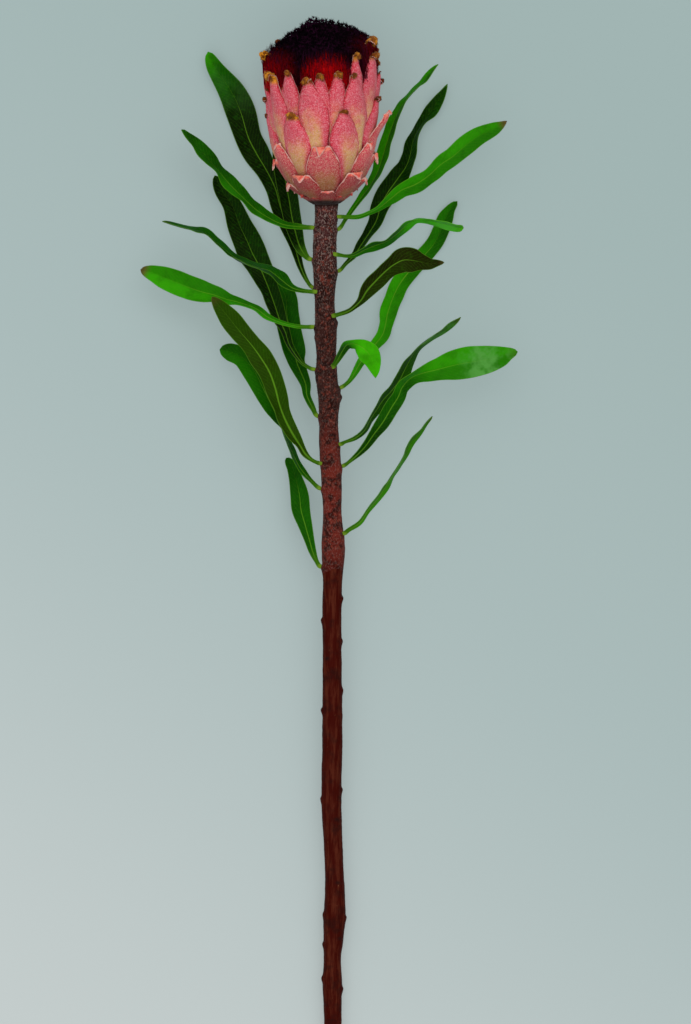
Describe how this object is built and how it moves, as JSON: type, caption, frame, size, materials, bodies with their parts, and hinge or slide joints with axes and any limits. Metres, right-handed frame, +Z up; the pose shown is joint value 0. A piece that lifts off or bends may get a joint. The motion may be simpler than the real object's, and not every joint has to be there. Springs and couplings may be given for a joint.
{
  "type": "protea flower",
  "caption": "Protea in flower on a leafy cut stem, lying down: overlapping velvety pink bracts form a goblet round a dark, furry dome of florets.",
  "frame": {"origin": "on the surface that the flower lies on, at the centre of its length and width", "axes": "+Y along the stem from the cut end to the flower head, +Z up from the surface, +X to the right seen from above with the flower away from the viewer"},
  "size_m": [0.2269, 0.6186, 0.074],
  "materials": {
    "bark": "matt, downy towards the flower",
    "leaf_green": "satin, smooth and leathery",
    "bract_dusty": "felted",
    "bract_pink": "velvety",
    "bract_crimson": "velvety",
    "floret_hair": "dense soft hair"
  },
  "bodies": {
    "root": {"stem": "bark", "florets": "floret_hair", "bract_scale_1": "bract_dusty", "bract_scale_2": "bract_dusty", "bract_scale_3": "bract_dusty", "bract_scale_4": "bract_dusty", "bract_scale_5": "bract_dusty", "bract_outer_1": "bract_pink", "bract_outer_2": "bract_pink", "bract_outer_3": "bract_pink", "bract_outer_4": "bract_pink", "bract_outer_5": "bract_pink", "bract_outer_6": "bract_pink", "bract_lower_1": "bract_pink", "bract_lower_2": "bract_pink", "bract_lower_3": "bract_pink", "bract_lower_4": "bract_pink", "bract_lower_5": "bract_pink", "bract_lower_6": "bract_pink", "bract_middle_1": "bract_pink", "bract_middle_2": "bract_pink", "bract_middle_3": "bract_pink", "bract_middle_4": "bract_pink", "bract_middle_5": "bract_pink", "bract_middle_6": "bract_pink", "bract_middle_7": "bract_pink", "bract_middle_8": "bract_pink", "bract_upper_1": "bract_pink", "bract_upper_2": "bract_pink", "bract_upper_3": "bract_pink", "bract_upper_4": "bract_pink", "bract_upper_5": "bract_pink", "bract_upper_6": "bract_pink", "bract_upper_7": "bract_pink", "bract_upper_8": "bract_pink", "bract_inner_1": "bract_crimson", "bract_inner_2": "bract_crimson", "bract_inner_3": "bract_crimson", "bract_inner_4": "bract_crimson", "bract_inner_5": "bract_crimson", "leaf_left_1": "leaf_green", "leaf_left_2": "leaf_green", "leaf_left_3": "leaf_green", "leaf_left_4": "leaf_green", "leaf_left_5": "leaf_green", "leaf_left_6": "leaf_green", "leaf_left_7": "leaf_green", "leaf_left_8": "leaf_green", "leaf_left_9": "leaf_green", "leaf_left_10": "leaf_green", "leaf_right_1": "leaf_green", "leaf_right_2": "leaf_green", "leaf_right_3": "leaf_green", "leaf_right_4": "leaf_green", "leaf_right_5": "leaf_green", "leaf_right_6": "leaf_green", "leaf_right_7": "leaf_green", "leaf_right_8": "leaf_green", "leaf_right_9": "leaf_green", "leaf_right_10": "leaf_green"}
  },
  "joints": []
}
